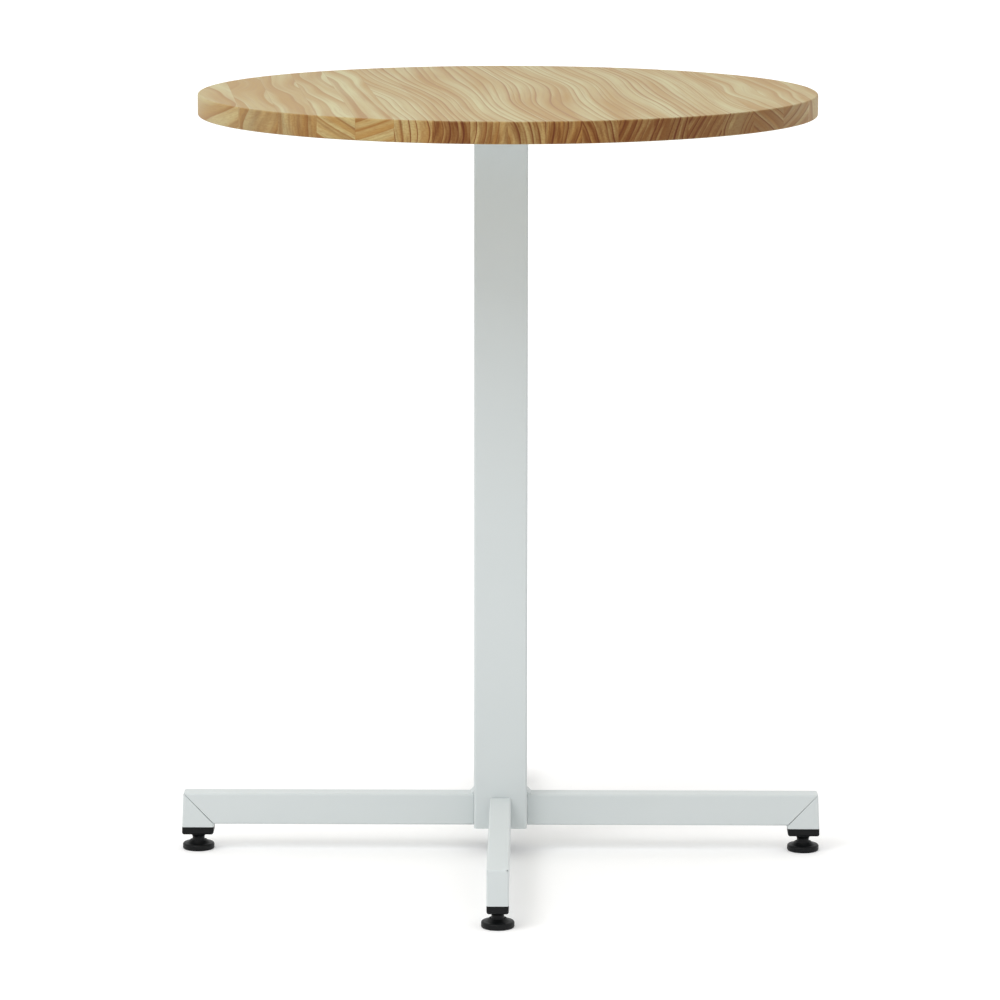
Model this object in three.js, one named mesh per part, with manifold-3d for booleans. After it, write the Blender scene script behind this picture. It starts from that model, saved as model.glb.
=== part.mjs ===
// Standing meeting table: a round timber top, glued up from staves, on a square steel column.
// The column stands on four tube legs, each folded down at its end onto a levelling foot.
// Millimetres, +Z up. The origin is on the floor, on the axis of the column.

import * as THREE from 'three';
import { mergeVertices } from 'three/addons/utils/BufferGeometryUtils.js';
import Module from 'manifold-3d';

const wasm = await Module();
wasm.setup();

// Whole table
const TABLE_HEIGHT = 1080;
const BASE_SPAN = 902; // over the folds of two opposite legs
const SEAT_GAP = 0.3; // between pieces that sit on or in each other

// Timber top
const TOP_DIAMETER = 860;
const TOP_THICKNESS = 30;
const TOP_EDGE_RADIUS = 2.5;
const TOP_OFFSET = 9; // centre of the top from the column's axis, along +X
const STAVE_COUNT = 18;
const PANEL_ALLOWANCE = 16; // glued panel wider than the top that is cut from it
const PANEL_SHIFT = 16; // centre of the panel from the column's axis, across the staves
const GRAIN_ANGLE = THREE.MathUtils.degToRad(6); // staves turned from the front-to-back axis
const GLUE_LINE = 0.2;

// Steel plate under the top
const PLATE_WIDTH = 300;
const PLATE_THICKNESS = 6;
const PLATE_CORNER_RADIUS = 20;
const PLATE_WELD = 5; // leg of the fillet bead round the column
const SCREW_EDGE_DISTANCE = 25; // from the plate's sides
const SCREW_HOLE_CLEARANCE = 0.6; // on the radius

// Screws and threaded inserts that hold the top on the plate
const SCREW_DIAMETER = 6;
const SCREW_LENGTH = 20;
const SCREW_HEAD_DIAMETER = 12;
const SCREW_HEAD_HEIGHT = 3.3;
const INSERT_DIAMETER = 10;
const INSERT_LENGTH = 13;
const THREAD_CLEARANCE = 0.2; // on the radius, between a screw and its nut or insert

// Column, square tube
const COLUMN_WIDTH = 75;
const COLUMN_WALL = 2;
const COLUMN_CORNER_RADIUS = 4;

// Legs, rectangular tube notched and folded down at the end
const LEG_WIDTH = 30;
const LEG_HEIGHT = 45;
const LEG_WALL = 2;
const LEG_CORNER_RADIUS = 3;
const LEG_WELD = 6; // leg of the fillet bead on the column's face
const STUB_DROP = 4.6; // end of the folded stub below the leg's underside
const STUB_LEAN = THREE.MathUtils.degToRad(2.5); // stub splayed out from upright
const FOLD_RADIUS = 3; // outside of the bend
const FOLD_WELD = 3; // leg of the fillet bead inside the bend
const SEAM_WIDTH = 0.9; // mitre line on the side faces
const SEAM_DEPTH = 1.2;
const RELIEF_HOLE_DIAMETER = 2.4; // through the bend, at one end of the notch
const RELIEF_HOLE_INSET = 2.2; // from the leg's side face

// Plastic plug in each leg end
const PLUG_FLANGE_HEIGHT = 11;
const PLUG_EDGE_RADIUS = 3.5;
const PLUG_SPIGOT_HEIGHT = 24;
const PLUG_WALL = 2;
const PLUG_FIN_DEPTH = 1;
const PLUG_FIN_PITCH = 6;
const PLUG_FIN_TIP = 1;
const PLUG_BOSS_WALL = 2; // round the nut's corners
const PLUG_BOSS_HEIGHT = 14;
const STEM_BORE_CLEARANCE = 0.5; // on the radius

// Captive nut in each plug
const NUT_ACROSS_FLATS = 13;
const NUT_HEIGHT = 6.5;

// Levelling foot: a stem with a ball end that snaps into a round pad
const PAD_DIAMETER = 45;
const PAD_RIM_HEIGHT = 8.8;
const PAD_EDGE_RADIUS = 2;
const PAD_SHOULDER_RADIUS = 2.6;
const PAD_FLOOR = 2; // under the ball
const PAD_MOUTH_CLEARANCE = 0.7; // on the radius, round the neck
const PAD_MOUTH_CHAMFER = 1.3;
const PAD_CROWN_WIDTH = 0.8; // flat ring round the mouth
const NECK_DIAMETER = 18.6;
const NECK_WAIST = 17.2; // narrowest, between the ball and the collar
const NECK_HEIGHT = 10.2; // from the ball to the top of the collar
const COLLAR_DIAMETER = 22.4;
const COLLAR_RIM = 0.8;
const BALL_LIP = 1.6; // ball wider than the neck, on the radius
const BALL_DEPTH = 4; // centre of the ball above its flat
const THREAD_DIAMETER = 8;
const THREAD_LENGTH = 35;
const THREAD_CHAMFER = 1;

// Facets
const TOP_SEGMENTS = 92;
const PAD_SEGMENTS = 24;
const STEM_SEGMENTS = 18;
const SCREW_SEGMENTS = 12;
const HOLE_SEGMENTS = 10;
const CORNER_STEPS = 2;
const ARC_STEPS = 3;
const SHARPEST_CORNER = 0.3; // radius left in an outline drawn in past its corners
const OVERCUT = 1; // how far a cutting solid runs past the surface it cuts

// Heights, stacked from the floor up
const BALL_RADIUS = NECK_DIAMETER / 2 + BALL_LIP;
const BALL_CENTRE = PAD_FLOOR + SEAT_GAP + BALL_DEPTH;
const NECK_FOOT = BALL_CENTRE + Math.sqrt(BALL_RADIUS ** 2 - (NECK_DIAMETER / 2) ** 2);
const COLLAR_TOP = NECK_FOOT + NECK_HEIGHT;
const PLUG_BOTTOM = COLLAR_TOP + SEAT_GAP;
const STUB_END = PLUG_BOTTOM + PLUG_FLANGE_HEIGHT + SEAT_GAP;
const LEG_UNDERSIDE = STUB_END + STUB_DROP;
const LEG_AXIS = LEG_UNDERSIDE + LEG_HEIGHT / 2;
const TOP_UNDERSIDE = TABLE_HEIGHT - TOP_THICKNESS;
const PLATE_UNDERSIDE = TOP_UNDERSIDE - SEAT_GAP - PLATE_THICKNESS;
const SCREW_SEAT = PLATE_UNDERSIDE - SEAT_GAP;
const COLUMN_TOP = PLATE_UNDERSIDE - SEAT_GAP;

// Places along a leg
const LEG_ROOT = COLUMN_WIDTH / 2 + SEAT_GAP;
const LEG_TIP = BASE_SPAN / 2;
const MITRE = Math.tan(Math.PI / 4 - STUB_LEAN / 2); // reach of the mitre for each millimetre of height
const SPLAY = Math.tan(STUB_LEAN); // reach of the stub for each millimetre of drop
const FOLD_AXIS = LEG_TIP - (MITRE * LEG_HEIGHT) / 2; // where the axes of the leg and its stub cross
const FOOT_AXIS = FOLD_AXIS + SPLAY * (LEG_AXIS - STUB_END);

const timber = new THREE.MeshStandardMaterial({ color: 0xd0b48a, roughness: 0.5, metalness: 0 });
const powderCoat = new THREE.MeshStandardMaterial({ color: 0xd2d8d6, roughness: 0.45, metalness: 0 });
const blackPlastic = new THREE.MeshStandardMaterial({ color: 0x1c1e1f, roughness: 0.5, metalness: 0 });
const zincSteel = new THREE.MeshStandardMaterial({ color: 0xb4b7ba, roughness: 0.35, metalness: 1 });
const brass = new THREE.MeshStandardMaterial({ color: 0xb59a5a, roughness: 0.35, metalness: 1 });

// A closed geometry as a solid that can be joined and cut
function toSolid(geometry) {
  const bare = geometry.clone();
  bare.deleteAttribute('normal');
  bare.deleteAttribute('uv');
  const merged = mergeVertices(bare);
  const corners = merged.index.array;
  const kept = [];
  for (let first = 0; first < corners.length; first += 3) {
    const [a, b, c] = corners.slice(first, first + 3);
    if (a !== b && b !== c && c !== a) kept.push(a, b, c);
  }
  return new wasm.Manifold(new wasm.Mesh({
    numProp: 3,
    vertProperties: new Float32Array(merged.attributes.position.array),
    triVerts: new Uint32Array(kept),
  }));
}

function toMesh(name, solid, material) {
  const { vertProperties, triVerts } = solid.getMesh();
  const geometry = new THREE.BufferGeometry();
  geometry.setAttribute('position', new THREE.BufferAttribute(vertProperties, 3));
  geometry.setIndex(new THREE.BufferAttribute(triVerts, 1));
  geometry.computeVertexNormals();
  const mesh = new THREE.Mesh(geometry, material);
  mesh.name = name;
  return mesh;
}

// Outline of a rectangle with round corners, anticlockwise
function roundedRectangle(width, depth, radius) {
  const corners = [[1, -1, -0.5], [1, 1, 0], [-1, 1, 0.5], [-1, -1, 1]];
  return corners.flatMap(([sideX, sideY, halfTurns]) => {
    const centre = new THREE.Vector2(sideX * (width / 2 - radius), sideY * (depth / 2 - radius));
    return Array.from({ length: CORNER_STEPS + 1 }, (_, step) => {
      const angle = Math.PI * (halfTurns + step / CORNER_STEPS / 2);
      return new THREE.Vector2(Math.cos(angle), Math.sin(angle)).multiplyScalar(radius).add(centre);
    });
  });
}

// Rectangle with the same centre and round corners, drawn in by a margin all round
function insetRectangle(width, depth, radius, inset) {
  return roundedRectangle(width - 2 * inset, depth - 2 * inset, Math.max(radius - inset, SHARPEST_CORNER));
}

// Solid through a row of rings of equal count, each anticlockwise seen from the row's far end
function loft(rings) {
  const count = rings[0].length;
  const index = [];
  for (let ring = 0; ring < rings.length - 1; ring += 1) {
    for (let corner = 0; corner < count; corner += 1) {
      const near = ring * count + corner;
      const next = ring * count + ((corner + 1) % count);
      index.push(near, next, next + count, near, next + count, near + count);
    }
  }
  const last = (rings.length - 1) * count;
  for (let corner = 1; corner < count - 1; corner += 1) {
    index.push(0, corner + 1, corner);
    index.push(last, last + corner, last + corner + 1);
  }
  const geometry = new THREE.BufferGeometry().setFromPoints(rings.flat());
  geometry.setIndex(index);
  return toSolid(geometry);
}

function ringAt(outline, height) {
  return outline.map(({ x, y }) => new THREE.Vector3(x, y, height));
}

function prism(outline, low, high) {
  return loft([ringAt(outline, low), ringAt(outline, high)]);
}

// Solid of revolution about the Z axis; the profile is [radius, height] pairs, going up on the outside
function revolve(profile, segments) {
  const points = profile.map(([radius, height]) => new THREE.Vector2(radius, height));
  return toSolid(new THREE.LatheGeometry(points, segments).rotateX(Math.PI / 2));
}

// [radius, height] pairs on an arc, from one angle to another, in degrees
function arc(centreRadius, centreHeight, radius, from, to) {
  return Array.from({ length: ARC_STEPS + 1 }, (_, step) => {
    const angle = THREE.MathUtils.degToRad(from + ((to - from) * step) / ARC_STEPS);
    return [centreRadius + radius * Math.cos(angle), centreHeight + radius * Math.sin(angle)];
  });
}

// Shares of the way along a curve, as far as its end
const shares = Array.from({ length: ARC_STEPS }, (_, step) => (step + 1) / ARC_STEPS);

function rod(radius, low, high, segments) {
  return revolve([[0, low], [radius, low], [radius, high], [0, high]], segments);
}

function box(sizeX, sizeY, sizeZ) {
  return new THREE.BoxGeometry(sizeX, sizeY, sizeZ);
}

// Bar that lies along Y, centred, with a section of [x, z] pairs
function crossBar(section, length) {
  const shape = new THREE.Shape(section.map(([x, z]) => new THREE.Vector2(x, z)));
  const bar = new THREE.ExtrudeGeometry(shape, { depth: length, bevelEnabled: false });
  bar.rotateX(Math.PI / 2);
  bar.translate(0, length / 2, 0);
  return toSolid(bar);
}

// Screws stand at the corners and mid sides of a square on the plate
const screwReach = PLATE_WIDTH / 2 - SCREW_EDGE_DISTANCE;
const screwPlaces = [];
for (const stepX of [-1, 0, 1]) {
  for (const stepY of [-1, 0, 1]) {
    if (stepX !== 0 || stepY !== 0) {
      screwPlaces.push([stepX * screwReach, stepY * screwReach]);
    }
  }
}

// Timber top: the glued panel is turned round, drilled for the inserts, and shown stave by stave
function topStaves() {
  const radius = TOP_DIAMETER / 2;
  const flat = radius - TOP_EDGE_RADIUS;
  let panel = revolve([
    [0, TOP_UNDERSIDE],
    ...arc(flat, TOP_UNDERSIDE + TOP_EDGE_RADIUS, TOP_EDGE_RADIUS, -90, 0),
    ...arc(flat, TABLE_HEIGHT - TOP_EDGE_RADIUS, TOP_EDGE_RADIUS, 0, 90),
    [0, TABLE_HEIGHT],
  ], TOP_SEGMENTS).translate([TOP_OFFSET, 0, 0]);

  const screwDepth = SCREW_SEAT + SCREW_LENGTH - TOP_UNDERSIDE;
  const holeDepth = Math.max(screwDepth, INSERT_LENGTH + SEAT_GAP) + SEAT_GAP;
  const holeRadius = INSERT_DIAMETER / 2 + SEAT_GAP;
  const hole = rod(holeRadius, TOP_UNDERSIDE - OVERCUT, TOP_UNDERSIDE + holeDepth, SCREW_SEGMENTS);
  for (const [x, y] of screwPlaces) panel = panel.subtract(hole.translate([x, y, 0]));

  const panelWidth = TOP_DIAMETER + PANEL_ALLOWANCE;
  const staveWidth = panelWidth / STAVE_COUNT;
  return Array.from({ length: STAVE_COUNT }, (_, stave) => {
    const staveLength = TOP_DIAMETER + 2 * TOP_OFFSET;
    const slice = box(staveWidth - GLUE_LINE, staveLength, TOP_THICKNESS + 2 * OVERCUT);
    const staveAxis = PANEL_SHIFT - panelWidth / 2 + (stave + 0.5) * staveWidth;
    slice.translate(staveAxis, 0, TOP_UNDERSIDE + TOP_THICKNESS / 2);
    slice.rotateZ(GRAIN_ANGLE);
    const name = `top_stave_${String(stave + 1).padStart(2, '0')}`;
    return toMesh(name, panel.intersect(toSolid(slice)), timber);
  });
}

// Top plate: drilled for the screws, with the fillet bead that welds it to the column
function topPlate() {
  const plateOutline = roundedRectangle(PLATE_WIDTH, PLATE_WIDTH, PLATE_CORNER_RADIUS);
  let plate = prism(plateOutline, PLATE_UNDERSIDE, PLATE_UNDERSIDE + PLATE_THICKNESS);

  const beadRing = (inset, height) => ringAt(
    insetRectangle(COLUMN_WIDTH, COLUMN_WIDTH, COLUMN_CORNER_RADIUS, inset),
    height,
  );
  const bead = loft([
    beadRing(-SEAT_GAP, PLATE_UNDERSIDE - PLATE_WELD),
    beadRing(-SEAT_GAP - PLATE_WELD, PLATE_UNDERSIDE),
    beadRing(-SEAT_GAP - PLATE_WELD, PLATE_UNDERSIDE + PLATE_THICKNESS / 2),
  ]);
  const columnSpace = loft([
    beadRing(-SEAT_GAP, PLATE_UNDERSIDE - PLATE_WELD - OVERCUT),
    beadRing(-SEAT_GAP, PLATE_UNDERSIDE),
  ]);
  plate = plate.add(bead).subtract(columnSpace);

  const holeRadius = SCREW_DIAMETER / 2 + SCREW_HOLE_CLEARANCE;
  const hole = rod(holeRadius, PLATE_UNDERSIDE - OVERCUT, TOP_UNDERSIDE, SCREW_SEGMENTS);
  for (const [x, y] of screwPlaces) plate = plate.subtract(hole.translate([x, y, 0]));
  return toMesh('top_plate', plate, powderCoat);
}

// Button-head screws up through the plate, each into a sleeve insert in the timber
function screwsAndInserts() {
  const headRadius = SCREW_HEAD_DIAMETER / 2;
  const shankRadius = SCREW_DIAMETER / 2;
  const headTop = SCREW_SEAT - SCREW_HEAD_HEIGHT;
  const domeRadius = (headRadius ** 2 + SCREW_HEAD_HEIGHT ** 2) / (2 * SCREW_HEAD_HEIGHT);
  const domeEdge = -THREE.MathUtils.radToDeg(Math.asin((domeRadius - SCREW_HEAD_HEIGHT) / domeRadius));
  const screw = revolve([
    ...arc(0, headTop + domeRadius, domeRadius, -90, domeEdge),
    [shankRadius, SCREW_SEAT],
    [shankRadius, SCREW_SEAT + SCREW_LENGTH],
    [0, SCREW_SEAT + SCREW_LENGTH],
  ], SCREW_SEGMENTS);

  const insertLow = TOP_UNDERSIDE + SEAT_GAP;
  const insertBore = shankRadius + THREAD_CLEARANCE;
  const insert = revolve([
    [insertBore, insertLow],
    [INSERT_DIAMETER / 2, insertLow],
    [INSERT_DIAMETER / 2, insertLow + INSERT_LENGTH],
    [insertBore, insertLow + INSERT_LENGTH],
    [insertBore, insertLow],
  ], SCREW_SEGMENTS);

  return screwPlaces.flatMap(([x, y], place) => [
    toMesh(`plate_screw_${place + 1}`, screw.translate([x, y, 0]), zincSteel),
    toMesh(`top_insert_${place + 1}`, insert.translate([x, y, 0]), brass),
  ]);
}

// Column: open square tube from the legs' underside to the plate
function column() {
  const outline = roundedRectangle(COLUMN_WIDTH, COLUMN_WIDTH, COLUMN_CORNER_RADIUS);
  const bore = insetRectangle(COLUMN_WIDTH, COLUMN_WIDTH, COLUMN_CORNER_RADIUS, COLUMN_WALL);
  const tube = prism(outline, LEG_UNDERSIDE, COLUMN_TOP)
    .subtract(prism(bore, LEG_UNDERSIDE - OVERCUT, COLUMN_TOP + OVERCUT));
  return toMesh('column', tube, powderCoat);
}

// Bar that runs out along +X from a root, turns down at a mitre and splays out to an end height
function foldedBar(section, root, end) {
  return loft([
    section.map(({ x, y }) => new THREE.Vector3(root, x, LEG_AXIS + y)),
    section.map(({ x, y }) => new THREE.Vector3(FOLD_AXIS + MITRE * y, x, LEG_AXIS + y)),
    section.map(({ x, y }) => {
      const drop = LEG_AXIS + y - end;
      return new THREE.Vector3(FOLD_AXIS + MITRE * y + SPLAY * drop, x, end);
    }),
  ]);
}

// Leg: tube folded at its outer end, with the mitre seam, a relief hole and the beads at root and bend
function legSolid() {
  const legTop = LEG_UNDERSIDE + LEG_HEIGHT;
  const section = roundedRectangle(LEG_WIDTH, LEG_HEIGHT, LEG_CORNER_RADIUS);
  const bore = insetRectangle(LEG_WIDTH, LEG_HEIGHT, LEG_CORNER_RADIUS, LEG_WALL);
  let leg = foldedBar(section, LEG_ROOT, STUB_END)
    .subtract(foldedBar(bore, LEG_ROOT - OVERCUT, STUB_END - OVERCUT));

  const bendCentre = LEG_TIP + FOLD_RADIUS * (SPLAY - Math.hypot(1, SPLAY));
  const leanDegrees = THREE.MathUtils.radToDeg(STUB_LEAN);
  const bend = arc(bendCentre, legTop - FOLD_RADIUS, FOLD_RADIUS, 90, leanDegrees);
  const bendFoot = bend[ARC_STEPS][1];
  const outside = LEG_TIP + FOLD_RADIUS;
  const bendCorner = [[outside, bendFoot], [outside, legTop + OVERCUT], [bendCentre, legTop + OVERCUT]];
  leg = leg.subtract(crossBar([...bend, ...bendCorner], LEG_WIDTH + 2 * OVERCUT));

  const mitreAngle = Math.PI / 4 + STUB_LEAN / 2;
  for (const side of [-1, 1]) {
    const seam = box(LEG_HEIGHT * Math.hypot(1, MITRE), 2 * SEAM_DEPTH, SEAM_WIDTH);
    seam.rotateY(-mitreAngle);
    seam.translate(FOLD_AXIS, (side * LEG_WIDTH) / 2, LEG_AXIS);
    leg = leg.subtract(toSolid(seam));
  }

  const reliefRadius = RELIEF_HOLE_DIAMETER / 2;
  const relief = new THREE.CylinderGeometry(reliefRadius, reliefRadius, 4 * LEG_WALL, HOLE_SEGMENTS);
  relief.rotateZ(-Math.PI / 2);
  relief.rotateY(-mitreAngle);
  relief.translate(LEG_TIP, LEG_WIDTH / 2 - RELIEF_HOLE_INSET, legTop);
  leg = leg.subtract(toSolid(relief));

  const rootToe = LEG_ROOT + LEG_WELD;
  const rootFloor = legTop - LEG_WALL / 2;
  const rootBead = [
    [LEG_ROOT, rootFloor],
    [rootToe, rootFloor],
    [rootToe, legTop],
    [LEG_ROOT, legTop + LEG_WELD],
  ];
  const insideBend = FOLD_AXIS - (MITRE * LEG_HEIGHT) / 2;
  const bendSeat = insideBend + LEG_WALL / 2;
  const bendRoof = LEG_UNDERSIDE + LEG_WALL / 2;
  const bendBead = [
    [insideBend - FOLD_WELD, bendRoof],
    [insideBend - FOLD_WELD, LEG_UNDERSIDE],
    [insideBend, LEG_UNDERSIDE - FOLD_WELD],
    [bendSeat, LEG_UNDERSIDE - FOLD_WELD],
    [bendSeat, bendRoof],
  ];
  const beadLength = LEG_WIDTH - 2 * LEG_CORNER_RADIUS;
  return leg.add(crossBar(rootBead, beadLength)).add(crossBar(bendBead, beadLength));
}

// Hexagon across its flats, with flats facing +Y and -Y
function hexagon(acrossFlats) {
  return Array.from({ length: 6 }, (_, corner) => {
    const angle = (corner * Math.PI) / 3;
    return new THREE.Vector2(Math.cos(angle), Math.sin(angle)).multiplyScalar(acrossFlats / Math.sqrt(3));
  });
}

// Plug: flange as wide as the leg, and a hollow finned spigot round a boss that holds the nut
function plugSolid() {
  const flangeTop = PLUG_BOTTOM + PLUG_FLANGE_HEIGHT;
  const plugTop = flangeTop + PLUG_SPIGOT_HEIGHT;
  const finInset = LEG_WALL + SEAT_GAP;
  const bodyInset = finInset + PLUG_FIN_DEPTH;
  const ring = (inset, height) => insetRectangle(LEG_HEIGHT, LEG_WIDTH, LEG_CORNER_RADIUS, inset)
    .map(({ x, y }) => new THREE.Vector3(x + SPLAY * (STUB_END - height), y, height));

  const rings = arc(0, PLUG_BOTTOM + PLUG_EDGE_RADIUS, PLUG_EDGE_RADIUS, -90, 0)
    .map(([reach, height]) => ring(PLUG_EDGE_RADIUS - reach, height));
  rings.push(ring(0, flangeTop), ring(bodyInset, flangeTop));
  const finCount = Math.floor((PLUG_SPIGOT_HEIGHT - PLUG_FIN_PITCH) / PLUG_FIN_PITCH);
  for (let fin = 1; fin <= finCount; fin += 1) {
    const finTop = flangeTop + fin * PLUG_FIN_PITCH;
    rings.push(ring(bodyInset, finTop - 2 * PLUG_FIN_TIP));
    rings.push(ring(finInset, finTop - PLUG_FIN_TIP));
    rings.push(ring(bodyInset, finTop));
  }
  rings.push(ring(bodyInset, plugTop));

  const nutCorner = NUT_ACROSS_FLATS / Math.sqrt(3) + SEAT_GAP;
  const hollowInset = bodyInset + PLUG_WALL;
  const hollow = loft([ring(hollowInset, flangeTop), ring(hollowInset, plugTop + OVERCUT)]);
  const boss = rod(nutCorner + PLUG_BOSS_WALL, PLUG_BOTTOM, flangeTop + PLUG_BOSS_HEIGHT, STEM_SEGMENTS);
  const web = box(LEG_HEIGHT, PLUG_WALL, PLUG_BOSS_HEIGHT);
  web.translate(0, 0, flangeTop + PLUG_BOSS_HEIGHT / 2);
  const cavity = hollow.subtract(boss).subtract(toSolid(web));

  const pocketTop = PLUG_BOTTOM + NUT_HEIGHT + 2 * SEAT_GAP;
  const pocket = prism(hexagon(NUT_ACROSS_FLATS + 2 * SEAT_GAP), PLUG_BOTTOM - OVERCUT, pocketTop);
  const boreRadius = THREAD_DIAMETER / 2 + STEM_BORE_CLEARANCE;
  const bore = rod(boreRadius, PLUG_BOTTOM - OVERCUT, plugTop + OVERCUT, STEM_SEGMENTS);
  return loft(rings).subtract(cavity).subtract(pocket).subtract(bore);
}

function nutSolid() {
  const low = PLUG_BOTTOM + SEAT_GAP;
  const high = low + NUT_HEIGHT;
  const boreRadius = THREAD_DIAMETER / 2 + THREAD_CLEARANCE;
  const bore = rod(boreRadius, low - OVERCUT, high + OVERCUT, STEM_SEGMENTS);
  return prism(hexagon(NUT_ACROSS_FLATS), low, high).subtract(bore);
}

// Stem: ball with a flat under it, waisted neck, collar against the plug and a threaded rod
function stemSolid() {
  const neck = NECK_DIAMETER / 2;
  const collar = COLLAR_DIAMETER / 2;
  const rodRadius = THREAD_DIAMETER / 2;
  const rodTop = COLLAR_TOP + THREAD_LENGTH;
  const flatAngle = -THREE.MathUtils.radToDeg(Math.asin(BALL_DEPTH / BALL_RADIUS));
  const neckAngle = THREE.MathUtils.radToDeg(Math.acos(neck / BALL_RADIUS));
  const waist = NECK_WAIST / 2;
  const collarFoot = COLLAR_TOP - COLLAR_RIM;
  const waistHeight = (NECK_FOOT + collarFoot) / 2;
  const lowerNeck = shares.map((share) => [
    waist + (neck - waist) * (1 - share) ** 2,
    NECK_FOOT + (waistHeight - NECK_FOOT) * share,
  ]);
  const upperNeck = shares.map((share) => [
    waist + (collar - waist) * share ** 2,
    waistHeight + (collarFoot - waistHeight) * share,
  ]);
  return revolve([
    [0, BALL_CENTRE - BALL_DEPTH],
    ...arc(0, BALL_CENTRE, BALL_RADIUS, flatAngle, neckAngle),
    ...lowerNeck,
    ...upperNeck,
    [collar, COLLAR_TOP],
    [rodRadius, COLLAR_TOP],
    [rodRadius, rodTop - THREAD_CHAMFER],
    [rodRadius - THREAD_CHAMFER, rodTop],
    [0, rodTop],
  ], STEM_SEGMENTS);
}

// Pad: round rim, a shallow cove up to the crown, and a socket that grips the stem's ball
function padSolid() {
  const radius = PAD_DIAMETER / 2;
  const edge = PAD_EDGE_RADIUS;
  const socket = BALL_RADIUS + SEAT_GAP;
  const mouth = NECK_DIAMETER / 2 + PAD_MOUTH_CLEARANCE;
  const mouthHeight = BALL_CENTRE + Math.sqrt(socket ** 2 - mouth ** 2);
  const crown = mouth + PAD_MOUTH_CHAMFER;
  const crownHeight = mouthHeight + PAD_MOUTH_CHAMFER;
  const shoulder = radius - PAD_SHOULDER_RADIUS;
  const crownEdge = crown + PAD_CROWN_WIDTH;
  const cove = shares.map((share) => [
    shoulder + (crownEdge - shoulder) * share,
    PAD_RIM_HEIGHT + (crownHeight - PAD_RIM_HEIGHT) * share ** 2,
  ]);
  const mouthAngle = THREE.MathUtils.radToDeg(Math.acos(mouth / socket));
  const floorAngle = -THREE.MathUtils.radToDeg(Math.asin((BALL_CENTRE - PAD_FLOOR) / socket));
  return revolve([
    [0, 0],
    ...arc(radius - edge, edge, edge, -90, 0),
    ...arc(shoulder, PAD_RIM_HEIGHT - PAD_SHOULDER_RADIUS, PAD_SHOULDER_RADIUS, 0, 90),
    ...cove,
    [crown, crownHeight],
    ...arc(0, BALL_CENTRE, socket, mouthAngle, floorAngle),
    [0, PAD_FLOOR],
  ], PAD_SEGMENTS);
}

// One leg with its plug, nut and levelling foot, pointing along +X and then turned to its side
function legAssembly(side, turn) {
  const group = new THREE.Group();
  const atFoot = (solid) => solid.translate([FOOT_AXIS, 0, 0]);
  group.add(toMesh(`leg_${side}`, legSolid(), powderCoat));
  group.add(toMesh(`leg_plug_${side}`, atFoot(plugSolid()), blackPlastic));
  group.add(toMesh(`foot_nut_${side}`, atFoot(nutSolid()), zincSteel));
  group.add(toMesh(`foot_stem_${side}`, atFoot(stemSolid()), blackPlastic));
  group.add(toMesh(`foot_pad_${side}`, atFoot(padSolid()), blackPlastic));
  group.rotation.z = turn;
  return group;
}

const table = new THREE.Group();
table.add(...topStaves());
table.add(topPlate());
table.add(...screwsAndInserts());
table.add(column());
['right', 'back', 'left', 'front'].forEach((side, quarter) => {
  table.add(legAssembly(side, (quarter * Math.PI) / 2));
});

export default table;
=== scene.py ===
import math

import bmesh
import bpy
from mathutils import Matrix, Vector


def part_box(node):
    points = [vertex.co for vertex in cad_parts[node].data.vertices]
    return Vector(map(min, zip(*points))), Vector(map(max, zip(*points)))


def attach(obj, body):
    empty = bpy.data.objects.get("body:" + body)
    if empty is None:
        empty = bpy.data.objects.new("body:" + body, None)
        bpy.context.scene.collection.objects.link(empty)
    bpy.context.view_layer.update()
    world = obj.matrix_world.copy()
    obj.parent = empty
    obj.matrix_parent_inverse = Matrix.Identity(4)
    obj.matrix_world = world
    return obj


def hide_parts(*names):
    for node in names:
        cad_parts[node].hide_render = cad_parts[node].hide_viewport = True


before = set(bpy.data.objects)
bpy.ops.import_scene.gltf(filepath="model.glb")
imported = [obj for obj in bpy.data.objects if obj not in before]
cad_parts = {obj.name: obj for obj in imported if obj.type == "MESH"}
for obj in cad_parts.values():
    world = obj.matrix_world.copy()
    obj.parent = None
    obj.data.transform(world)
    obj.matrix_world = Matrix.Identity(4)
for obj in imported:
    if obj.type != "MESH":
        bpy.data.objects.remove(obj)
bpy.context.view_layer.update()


# Column
# A 75 mm square steel tube with 2 mm walls and rolled corners, powder coated pale grey. The four legs
# are welded to the foot of its sides, and the plate that carries the top is welded to its head.
mm = 0.001
column_wall = 2 * mm
column_corner = 4 * mm
column_low, column_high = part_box("column")
coat_pale = (0.665, 0.708, 0.708, 1)
coat_deep = (0.640, 0.686, 0.688, 1)
cloud_scale = 7
peel_scale = 420
bump_depth = 0.1 * mm
merge_distance = 0.0005 * mm
sharp_angle = math.radians(35)


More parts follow.
